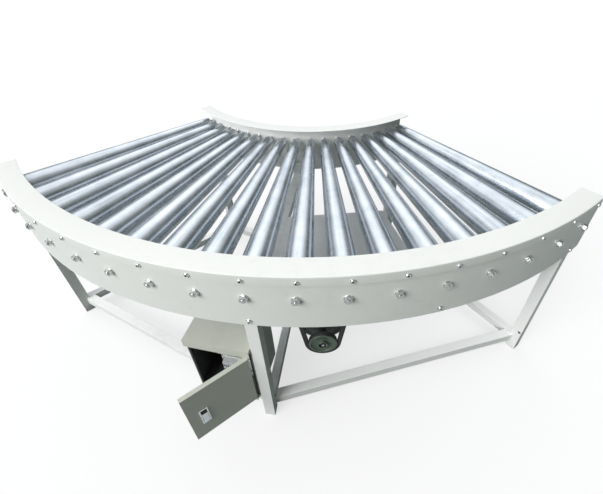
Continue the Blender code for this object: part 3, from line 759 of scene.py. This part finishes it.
def gearmotor():
    """In-line gearmotor: flanged gearbox, finned motor, fan cowl, terminal box and hanging foot."""
    low, high = local_box("gearmotor", DRIVE)
    front, rear = high.x - 0.014, low.x
    bm = bmesh.new()
    lathe(bm, [(0.0, high.x), (0.0275, high.x), (0.03, high.x - 0.0015), (0.03, front + 0.001),
               (0.0315, front), (0.046, front), (0.047, front - 0.002), (0.054, front - 0.002),
               (0.055, front), (0.062, front), (0.0665, front - 0.003), (0.07, front - 0.009),
               (0.07, front - 0.022), (0.0675, front - 0.024), (0.0675, front - 0.086),
               (0.07, front - 0.088), (0.07, front - 0.106), (0.066, front - 0.11), (0.056, front - 0.112),
               (0.056, front - 0.12), (0.052, front - 0.122), (0.047, front - 0.124), (0.047, 1.012),
               (0.055, 1.01), (0.0565, 1.0085), (0.0565, 1.003), (0.058, 1.002), (0.058, rear + 0.014),
               (0.0565, rear + 0.007), (0.052, rear + 0.002), (0.045, rear), (0.0, rear)], 72, SHAFT, 0)
    ribs, flange_bolts, fins = 12, 6, 40
    for step in range(ribs):
        at = SHAFT @ turned(360 / ribs * (step + 0.5), "Z")
        block(bm, (0.0655, -0.003, front - 0.087), (0.0694, 0.003, front - 0.023), 0.0008, at)
    for step in range(flange_bolts):
        at = SHAFT @ turned(360 / flange_bolts * (step + 0.5), "Z") @ moved(0.0585, 0, front - 0.0005)
        hexagon(bm, 0.008, 0.0045, 0.0, at, 1, steps=24)
    for step in range(fins):
        at = SHAFT @ turned(360 / fins * (step + 0.5), "Z")
        block(bm, (0.0455, -0.0011, 1.018), (0.0545, 0.0011, front - 0.128), 0.0004, at, 0, 1)
    # Near-black rings on the fan cowl's back: painted shade for its slots.
    for ring in range(4):
        radius = 0.012 + 0.009 * ring
        lathe(bm, [(radius, rear + 0.0002), (radius, rear - 0.0008), (radius + 0.003, rear - 0.0008),
                   (radius + 0.003, rear + 0.0002)], 48, SHAFT, 2)
    foot_low, foot_half = 0.036, 0.0495
    block(bm, (front - 0.11, -0.05, foot_low), (front - 0.01, 0.05, high.z), 0.004, DRIVE)
    for y in (-foot_half, foot_half):
        for x in (front - 0.09, front - 0.06, front - 0.03):
            block(bm, (x - 0.003, y - 0.003, foot_low + 0.006), (x + 0.003, y + 0.003, high.z - 0.006),
                  0.001, DRIVE)
    block(bm, (1.052, 0.04, -0.028), (1.138, 0.078, 0.04), 0.004, DRIVE)
    block(bm, (1.05, 0.0783, -0.03), (1.14, high.y, 0.042), 0.003, DRIVE)
    for x in (1.057, 1.133):
        for z in (-0.023, 0.035):
            at = DRIVE @ moved(x, high.y - 0.0022, z) @ turned(-90, "X")
            button_screw(bm, 0.0035, 0.002, at, 1, 2)
    gland = DRIVE @ moved(1.095, 0.06, -0.028) @ turned(180, "X")
    hexagon(bm, 0.019, 0.006, 0.0, gland, 3)
    lathe(bm, [(0.0085, 0.005), (0.0085, 0.014), (0.007, 0.019), (0.0045, 0.019), (0.0045, 0.012),
               (0.0, 0.012)], 32, gland, 3)
    piece("gearmotor_detail", bm, [CASTING, BOLT, PAINTED_HOLE_SHADE, HUB_PLASTIC], 32.0, "frame", "drive_green",
          ("gearmotor",))

    bm = bmesh.new()
    for x in (front - 0.095, front - 0.025):
        for y in (-0.036, 0.036):
            at = DRIVE @ moved(x, y, TIE_HIGH - SHAFT_Z)
            washer(bm, 0.0095, 0.0016, 0.004, at @ moved(0, 0, SEAT))
            hexagon(bm, 0.013, 0.0055, 0.0, at @ moved(0, 0, 0.0018))
    piece("drive_bolts", bm, [BOLT], 30.0, "frame", "fastener_zinc")


gearmotor()


def pulley():
    """Turned pulley with a dished web, keyed hub and clamping bolt."""
    middle = Vector(PULLEY["pos_m"])
    reach = hypot(middle.x, CENTRE_Y - middle.y)
    low, high = local_box("drive_pulley", DRIVE)
    at = DRIVE @ moved(reach, 0, 0) @ turned(90, "Y")
    rim, half = high.z, 0.008
    top, back = high.x - reach, low.x - reach
    bm = bmesh.new()
    lathe(bm, [(0.0118, top - 0.0004), (0.0122, top), (0.0135, top), (0.0142, top - 0.0008),
               (0.0142, half - 0.0036), (0.0155, half - 0.0046), (0.03, half - 0.0046), (0.033, half - 0.003),
               (0.0342, half - 0.0002), (0.035, half), (rim - 0.001, half), (rim, half - 0.0009), (rim, 0.006)],
          72, at, 0)
    # The groove, back flange and back of the hub are near-black, darker than the enamelled face.
    lathe(bm, [(rim, 0.006), (rim - 0.0004, 0.0056), (rim - 0.002, 0.0054), (rim - 0.002, -0.0054),
               (rim, -0.0056), (rim, -half + 0.0008), (rim - 0.001, -half), (0.013, -half),
               (0.012, -half - 0.001), (0.012, back), (0.0, back)], 72, at, 3)
    # The hub's recessed face is near-black: painted shade in the recess.
    lathe(bm, [(0.0, top - 0.004), (0.0112, top - 0.004), (0.0118, top - 0.0004)], 48, at, 2)
    hexagon(bm, 0.0075, 0.0034, 0.0, at @ moved(0, 0, top - 0.0038), 1, steps=24)
    block(bm, (-0.002, 0.0085, top - 0.0036), (0.002, 0.0125, top - 0.001), 0.0004, at, 1)
    piece("drive_pulley_turned", bm, [ENAMEL, BOLT, PAINTED_HOLE_SHADE, RUBBER], 30.0, "pulley", "drive_green",
          ("drive_pulley",))


pulley()


def v_belt():
    """V belt from the pulley up round the two hubs above it."""
    low, high = local_box("drive_belt", DRIVE)
    thickness = 0.012
    reach = (low.x + high.x) / 2
    sideways = reach * sin(PITCH / 2)
    rise = axis_height(reach) - SHAFT_Z
    wheel = -low.z - thickness
    hub = high.z - rise - thickness
    circles = [(Vector((0, 0)), wheel), (Vector((sideways, rise)), hub), (Vector((-sideways, rise)), hub)]
    top = (high.x - low.x) / 2
    bottom, shoulder, edge = top * 0.72, thickness * 0.62, 0.0008
    section = [(-bottom, 0.0), (bottom, 0.0), (top, shoulder), (top, thickness - edge), (top - edge, thickness),
               (-top + edge, thickness), (-top, thickness - edge), (-top, shoulder)]
    bm = bmesh.new()
    rings = []
    for point, out in loop_path(circles, 28):
        rings.append([DRIVE @ Vector((reach + x, *(point + out * (depth + SEAT)))) for x, depth in section])
    loops(bm, rings, closed_path=True)
    piece("v_belt", bm, [RUBBER], 40.0, "frame", "belt_rubber", ("drive_belt",))


v_belt()


# -------- control cabinet

HINGE = JOINTS["door_hinge"]
LATCH = JOINTS["latch_paddle"]
DOOR_YAW = atan2(LATCH["axis"][1], LATCH["axis"][0])
CABINET_YAW = DOOR_YAW + radians(HINGE["range_deg"][0])
HINGE_FOOT = moved(HINGE["pos_m"][0], HINGE["pos_m"][1], 0)
DOOR = HINGE_FOOT @ Matrix.Rotation(DOOR_YAW, 4, "Z")
CABINET = HINGE_FOOT @ Matrix.Rotation(CABINET_YAW, 4, "Z")
BOX_LOW, BOX_HIGH = local_box("cabinet_box", CABINET)
DOOR_LOW, DOOR_HIGH = local_box("cabinet_door", DOOR)
HOOD = 0.012
FRONT = BOX_LOW.y + HOOD
BOX_WIDE = BOX_HIGH.x - BOX_LOW.x


def paint_inside_shade():
    """Paints the sheet's inner faces near-black: painted shade for the box's unlit inside."""
    mesh = NODES["cabinet_box"].data
    mesh.materials.append(CABINET_INSIDE_SHADE)
    back = CABINET.inverted()
    sheet = 0.0015
    for polygon in mesh.polygons:
        middle = back @ polygon.center
        clear = all(BOX_LOW[i] + sheet < middle[i] < BOX_HIGH[i] - sheet for i in (0, 2))
        if clear and FRONT + sheet < middle.y < BOX_HIGH.y - sheet:
            polygon.material_index = 1


paint_inside_shade()


def cabinet_trim():
    """Seal round the opening, hinge tab, spacers to the leg, cable glands and back screws."""
    bm = bmesh.new()
    wide, inset = 0.006, 0.0022
    left, right = BOX_LOW.x + inset, BOX_HIGH.x - inset
    bottom, top = BOX_LOW.z + inset, BOX_HIGH.z - 0.033
    strips(bm, left, bottom, right, top, wide, FRONT + 0.001, FRONT + 0.0045, 0.0008, CABINET)
    piece("opening_seal", bm, [GASKET], 40.0, "frame", "belt_rubber")

    bm = bmesh.new()
    tab_z, near, far = DOOR_LOW.z - 0.0028, FRONT - 0.0022, FRONT - 0.0003
    block(bm, (-0.0075, -0.004, tab_z), (0.0035, far, tab_z + 0.0018), 0.0006, CABINET)
    block(bm, (-0.0075, near, tab_z - 0.01), (0.0035, far, tab_z + 0.0018), 0.0006, CABINET)
    piece("hinge_tab", bm, [CABINET_PAINT], 40.0, "frame", "cabinet_grey")

    bm = bmesh.new()
    for z in (BOX_LOW.z + 0.045, BOX_HIGH.z - 0.06):
        at = CABINET @ moved(BOX_HIGH.x + 0.0002, FRONT + 0.015, z) @ turned(90, "Y")
        lathe(bm, [(0.0, 0.0), (0.0045, 0.0), (0.0045, 0.0022), (0.0, 0.0022)], 24, at)
    piece("leg_spacers", bm, [BOLT], 30.0, "frame", "fastener_zinc")

    bm = bmesh.new()
    for share in (0.35, 0.65):
        at = moved(BOX_LOW.x + BOX_WIDE * share, FRONT + 0.09, BOX_LOW.z - 0.0002)
        at = CABINET @ at @ turned(180, "X")
        hexagon(bm, 0.024, 0.006, 0.0, at)
        lathe(bm, [(0.0105, 0.0055), (0.0105, 0.016), (0.0085, 0.022), (0.0055, 0.022), (0.0055, 0.012),
                   (0.0, 0.012)], 32, at)
    piece("cable_glands", bm, [HUB_PLASTIC], 30.0, "frame", "belt_rubber")

    bm = bmesh.new()
    for share in (0.16, 0.84):
        for z in (BOX_LOW.z + 0.05, BOX_HIGH.z - 0.05):
            at = CABINET @ moved(BOX_LOW.x + BOX_WIDE * share, BOX_HIGH.y + SEAT, z) @ turned(-90, "X")
            button_screw(bm, 0.0048, 0.0028, at)
    piece("cabinet_back_screws", bm, [BOLT, PAINTED_HOLE_SHADE], 30.0, "frame", "fastener_zinc")


cabinet_trim()


def door_trim():
    """Foam seal and stiffening rib inside the door, and the latch's frame on its face."""
    bm = bmesh.new()
    inset, wide, skin_y = 0.006, 0.007, 0.0022
    left, right = DOOR_LOW.x + inset, DOOR_HIGH.x - inset
    bottom, top = DOOR_LOW.z + inset, DOOR_HIGH.z - inset
    strips(bm, left, bottom, right, top, wide, skin_y, 0.0068, 0.001, DOOR)
    piece("door_seal", bm, [GASKET], 40.0, "door", "belt_rubber")

    bm = bmesh.new()
    pivot_z = (DOOR.inverted() @ Vector(LATCH["pos_m"])).z
    latch_low, latch_high = local_box("door_latch", DOOR)
    centre = (latch_low.x + latch_high.x) / 2
    half = (latch_high.x - latch_low.x) / 2
    sill, head = latch_low.z - 0.0035, latch_high.z + 0.017
    face, proud = -SEAT, -0.0022
    bar, slack = 0.0048, 0.0006
    for low, high in (((centre - half - bar, sill), (centre - half - slack, head)),
                      ((centre + half + slack, sill), (centre + half + bar, head)),
                      ((centre - half - bar, sill - 0.004), (centre + half + bar, sill)),
                      ((centre - half - bar, head), (centre + half + bar, head + 0.004))):
        block(bm, (low[0], proud, low[1]), (high[0], face, high[1]), 0.0007, DOOR)
    # A near-black block above the paddle: painted shade in the latch's recess.
    block(bm, (centre - half - 0.0004, -0.0012, latch_high.z + 0.0008),
          (centre + half + 0.0004, face, head - 0.0002), 0.0003, DOOR, 1, 1)
    block(bm, (centre - 0.009, skin_y, pivot_z + 0.004), (centre + 0.009, 0.011, pivot_z + 0.04),
          0.0012, DOOR, 2)
    block(bm, (centre - 0.02, 0.0088, pivot_z + 0.016), (centre - 0.006, 0.0108, pivot_z + 0.028),
          0.0005, DOOR, 2)
    piece("latch_housing", bm, [BRIGHT, PAINTED_HOLE_SHADE, BOLT], 35.0, "door", "latch_chrome")

    bm = bmesh.new()
    middle, low, high = (DOOR_LOW.x + DOOR_HIGH.x) / 2 + 0.02, bottom + 0.012, top - 0.012
    block(bm, (middle - 0.014, skin_y, low), (middle + 0.014, 0.004, high), 0.0006, DOOR)
    block(bm, (middle - 0.008, 0.0036, low), (middle + 0.008, 0.0085, high), 0.0016, DOOR)
    piece("door_stiffener", bm, [CABINET_PAINT], 40.0, "door", "cabinet_grey")


door_trim()


def switchgear():
    """Mounting plate with standoffs, rails, terminals and a contactor with its overload relay."""
    low, high = local_box("mounting_plate", CABINET)
    left, right, back = low.x, high.x, high.y
    plate_low, plate_high = low.z, high.z
    plate_y, plate_t = low.y + 0.038, 0.0018
    rail_front = 0.0078

    def part(x_low, x_high, out, base, z_low, z_high, rounding, index=0, segments=2):
        """A block between these heights in front of the plate."""
        low, high = (x_low, plate_y - out, z_low), (x_high, plate_y - base, z_high)
        block(bm, low, high, rounding, CABINET, index, segments)

    def face_screw(x, out, z, radius, height, index, dark):
        at = CABINET @ moved(x, plate_y - out, z) @ turned(90, "X")
        button_screw(bm, radius, height, at, index, dark)

    bm = bmesh.new()
    block(bm, (left, plate_y, plate_low), (right, plate_y + plate_t, plate_high), 0.0006, CABINET)
    stand = back - plate_y - plate_t
    for x in (left + 0.01, right - 0.01):
        for z in (plate_low + 0.018, plate_high - 0.024):
            at = CABINET @ moved(x, plate_y + plate_t, z) @ turned(-90, "X")
            lathe(bm, [(0.0, 0.0), (0.0045, 0.0), (0.0045, stand), (0.0, stand)], 20, at, 1)
            face_screw(x, 0.0, z, 0.0045, 0.0026, 1, 2)
    rail_left, rail_right, flange = left + 0.006, right - 0.006, 0.0045
    for z_low, z_high in ((plate_low + 0.068, plate_low + 0.103), (plate_high - 0.07, plate_high - 0.035)):
        part(rail_left, rail_right, 0.0012, 0.0002, z_low, z_high, 0.0003, 0, 1)
        for z in (z_low, z_high - flange):
            part(rail_left, rail_right, 0.0075, 0.0063, z, z + flange, 0.0003, 0, 1)
            edge = z + (0.0033 if z == z_low else 0.0)
            part(rail_left, rail_right, 0.007, 0.0004, edge, edge + 0.0012, 0.0)
    piece("switchgear_plate", bm, [GALVANISED, BOLT, PAINTED_HOLE_SHADE], 32.0, "frame", "relay_plastic",
          ("mounting_plate",))

    bm = bmesh.new()
    z_mid = plate_high - 0.05
    x0, x1 = left + 0.043, left + 0.088
    part(x0, x1, 0.03, rail_front, z_mid - 0.038, z_mid + 0.038, 0.0015)
    part(x0 + 0.003, x1 - 0.003, 0.0375, 0.029, z_mid - 0.022, z_mid + 0.022, 0.0015)
    part(x0 + 0.014, x1 - 0.014, 0.0385, 0.0365, z_mid - 0.008, z_mid + 0.008, 0.0008, 2)
    # The near-black blocks here and below are painted shade in the openings of the contactor and its
    # neighbours.
    for column in range(4):
        x = x0 + 0.0065 + 0.0107 * column
        for z in (z_mid - 0.031, z_mid + 0.031):
            part(x - 0.004, x + 0.004, 0.0308, 0.0298, z - 0.005, z + 0.005, 0.0003, 1, 1)
            face_screw(x, 0.0305, z, 0.0028, 0.0012, 3, 1)
    part(x1 + 0.003, x1 + 0.021, 0.034, rail_front, z_mid - 0.032, z_mid + 0.03, 0.0012, 2)
    part(x1 + 0.006, x1 + 0.018, 0.0365, 0.0335, z_mid - 0.006, z_mid + 0.006, 0.0008, 1)
    part(left + 0.016, left + 0.039, 0.034, rail_front, z_mid - 0.03, z_mid + 0.028, 0.0012)
    part(left + 0.021, left + 0.034, 0.038, 0.0335, z_mid - 0.008, z_mid + 0.004, 0.0008, 1)
    piece("contactor", bm, [RELAY_PALE, PAINTED_HOLE_SHADE, RELAY_OLIVE, BOLT], 32.0, "frame", "relay_plastic")

    bm = bmesh.new()
    z_mid = plate_low + 0.0855
    terminals, terminal_pitch = 14, 0.0076
    for number in range(terminals):
        x = left + 0.016 + terminal_pitch * number
        part(x, x + 0.007, 0.0262, rail_front, z_mid - 0.019, z_mid + 0.019, 0.0007, 0, 1)
        for z in (z_mid - 0.0125, z_mid + 0.0125):
            face_screw(x + 0.0035, 0.0261, z, 0.0023, 0.0009, 2, 1)
        # A near-black block on each terminal: painted shade in its wire entry.
        part(x + 0.0012, x + 0.0058, 0.0266, 0.0258, z_mid - 0.004, z_mid + 0.004, 0.0002, 1, 1)
    piece("terminal_row", bm, [TERMINAL, PAINTED_HOLE_SHADE, BOLT], 32.0, "frame", "relay_plastic")


switchgear()


# -------- stage

FLOOR_REACH, FLOOR_Z = 40.0, -0.0003
FLOOR_GLOW = 0.66
FLOOR_WHITE = (0.3, 0.3, 0.3)
FLOOR_BOUNCE = (0.06, 0.088, 0.068)
FLOOR_GLOSS = (0.5, 0.53, 0.54)
SKY_BASE = (0.016, 0.026, 0.019)
SKY_GLOSS = (0.15, 0.165, 0.17)
SKY_SEEN = (0.95, 0.95, 0.95)
SKY_PATCHES = [
    ((-0.25, 0.3, 0.92), 8.0, 56.0, (0.8, 0.81, 0.84)),
    ((-0.15, 0.86, 0.5), 6.0, 42.0, (0.62, 0.64, 0.68)),
    ((-0.9, -0.35, 0.3), 18.0, 60.0, (0.26, 0.27, 0.28)),
    ((-0.6, -0.75, 0.36), 5.0, 38.0, (0.26, 0.26, 0.26)),
]


def make_floor():
    """Pale studio floor: bright to the eye, and a muted green-grey in what it throws back at the machine."""
    mesh = bpy.data.meshes.new("studio_floor")
    corners = [(x * FLOOR_REACH, y * FLOOR_REACH, FLOOR_Z) for x, y in ((-1, -1), (1, -1), (1, 1), (-1, 1))]
    mesh.from_pydata(corners, [], [(0, 1, 2, 3)])
    floor = add_object("studio_floor", mesh)
    mat = bpy.data.materials.new("studio_floor")
    mat.use_nodes = True
    nodes, links = mat.node_tree.nodes, mat.node_tree.links
    nodes.clear()
    out = add_node(nodes, "OutputMaterial")
    path = add_node(nodes, "LightPath")
    seen = add_node(nodes, "MixShader")
    glow = add_node(nodes, "Emission", Color=(1.0, 1.0, 1.0, 1.0), Strength=FLOOR_GLOW)
    white = add_node(nodes, "BsdfDiffuse", Color=(*FLOOR_WHITE, 1.0))
    total = add_node(nodes, "AddShader")
    bounce = add_node(nodes, "BsdfDiffuse", Color=(*FLOOR_BOUNCE, 1.0))
    mirrored = add_node(nodes, "BsdfDiffuse", Color=(*FLOOR_GLOSS, 1.0))
    thrown = add_node(nodes, "MixShader")
    for source, target in ((path.outputs["Is Glossy Ray"], thrown.inputs["Fac"]),
                           (bounce.outputs["BSDF"], thrown.inputs[1]),
                           (mirrored.outputs["BSDF"], thrown.inputs[2]),
                           (glow.outputs["Emission"], total.inputs[0]),
                           (white.outputs["BSDF"], total.inputs[1]),
                           (path.outputs["Is Camera Ray"], seen.inputs["Fac"]),
                           (thrown.outputs["Shader"], seen.inputs[1]),
                           (total.outputs["Shader"], seen.inputs[2]),
                           (seen.outputs["Shader"], out.inputs["Surface"])):
        links.new(source, target)
    mesh.materials.append(mat)


def mix_colours(nodes, links, share, first, second, blend_type="MIX"):
    """Mixes a colour or link with a constant colour by a linked share."""
    mix = nodes.new("ShaderNodeMix")
    mix.data_type = "RGBA"
    mix.blend_type = blend_type
    mix.clamp_result = False
    links.new(share, mix.inputs["Factor"])
    if isinstance(first, tuple):
        mix.inputs["A"].default_value = (*first, 1.0)
    else:
        links.new(first, mix.inputs["A"])
    mix.inputs["B"].default_value = (*second, 1.0)
    return mix.outputs["Result"]


def make_world():
    """Dim green-grey room with soft lit patches overhead, behind and on the left."""
    world = bpy.data.worlds.new("studio")
    bpy.context.scene.world = world
    world.use_nodes = True
    nodes, links = world.node_tree.nodes, world.node_tree.links
    coords = nodes.new("ShaderNodeTexCoord").outputs["Generated"]
    total = SKY_BASE
    for towards, full, edge, colour in SKY_PATCHES:
        dot = nodes.new("ShaderNodeVectorMath")
        dot.operation = "DOT_PRODUCT"
        dot.inputs[1].default_value = Vector(towards).normalized()
        links.new(coords, dot.inputs[0])
        span = add_node(nodes, "MapRange", From_Min=cos(radians(edge)),
                        From_Max=cos(radians(full)))
        span.interpolation_type = "SMOOTHSTEP"
        links.new(dot.outputs["Value"], span.inputs["Value"])
        total = mix_colours(nodes, links, span.outputs["Result"], total, colour, "ADD")
    path = nodes.new("ShaderNodeLightPath")
    sheen = mix_colours(nodes, links, path.outputs["Is Glossy Ray"], total, SKY_GLOSS, "ADD")
    pale = mix_colours(nodes, links, path.outputs["Is Camera Ray"], sheen, SKY_SEEN)
    links.new(pale, nodes["Background"].inputs["Color"])


def add_sun(name, towards, strength, angle):
    light = bpy.data.lights.new(name, "SUN")
    light.energy = strength
    light.angle = radians(angle)
    add_object(name, light).rotation_euler = Vector(towards).to_track_quat("Z", "Y").to_euler()


make_floor()
make_world()
add_sun("key", (-0.58, -0.64, 0.56), 2.95, 44.0)
add_sun("top", (-0.1, 0.1, 0.98), 0.6, 110.0)

CAMERA_X, CAMERA_BACK, CAMERA_Z = 0.27264, 1.97245, 1.38413
CAMERA_TURN, CAMERA_PITCH, CAMERA_ROLL = radians(6.72), radians(38.387), radians(0.796)


def make_camera():
    """In front of the machine, right of its middle, looking down and a little left."""
    where = Vector((CAMERA_X, CENTRE_Y - CAMERA_BACK, CAMERA_Z))
    level = cos(CAMERA_PITCH)
    forward = Vector((-sin(CAMERA_TURN) * level, cos(CAMERA_TURN) * level, -sin(CAMERA_PITCH)))
    data = bpy.data.cameras.new("view")
    data.sensor_width = 36.0
    data.lens = 22.29
    data.shift_x = -0.0387
    data.shift_y = -0.0535
    data.clip_start = 0.05
    data.clip_end = 200.0
    camera = add_object("view", data)
    look = forward.to_track_quat("-Z", "Y").to_matrix().to_4x4()
    camera.matrix_world = moved(*where) @ look @ Matrix.Rotation(-CAMERA_ROLL, 4, "Z")
    bpy.context.scene.camera = camera


make_camera()
bpy.context.scene.view_settings.view_transform = "Standard"
